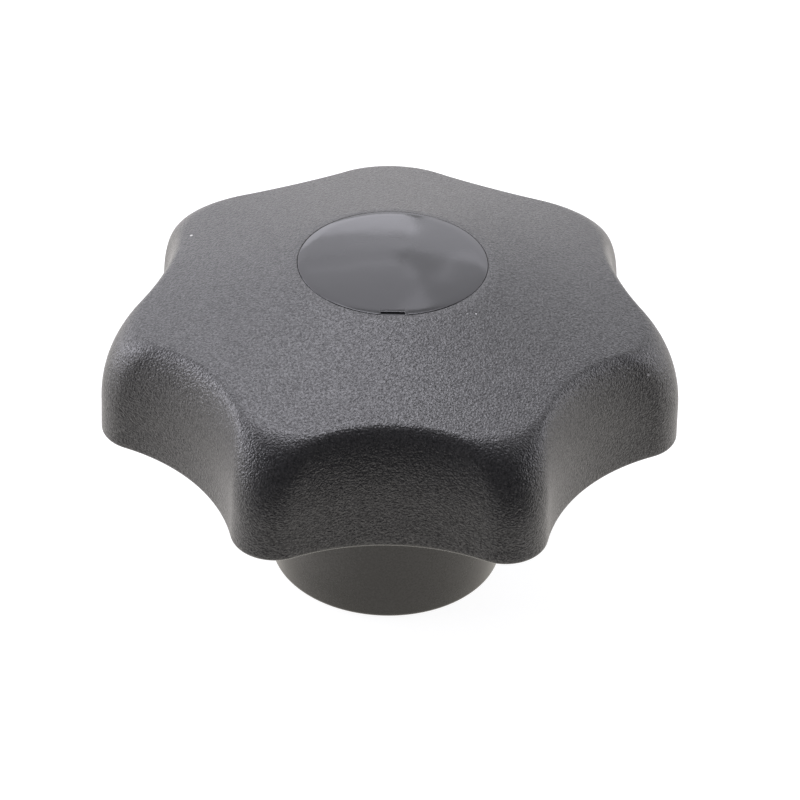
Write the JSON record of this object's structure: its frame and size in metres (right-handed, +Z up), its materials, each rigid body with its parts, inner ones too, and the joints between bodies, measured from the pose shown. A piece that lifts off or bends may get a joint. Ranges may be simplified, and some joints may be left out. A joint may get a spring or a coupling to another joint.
{
  "type": "star knob",
  "caption": "Star knob with rounded lobes and a conical crown on a round foot, with a blind tapped hole below and a glossy flush cap above, for tightening a clamp by hand.",
  "frame": {"origin": "centre of the foot's bottom face, at the mouth of the tapped hole", "axes": "+Z up along the screw's axis, from the foot to the cap; -Y is the front, where a valley between two lobes and the cap's notch face; +X to the right"},
  "size_m": [0.0616, 0.0603, 0.0384],
  "materials": {
    "body_plastic": "fine-grained matt black moulding, glass-filled polyamide",
    "bush_brass": "turned",
    "cap_plastic": "smooth glossy black moulding"
  },
  "bodies": {
    "root": {"knob_body": "body_plastic", "threaded_bush": "bush_brass", "cap": "cap_plastic"}
  },
  "joints": []
}
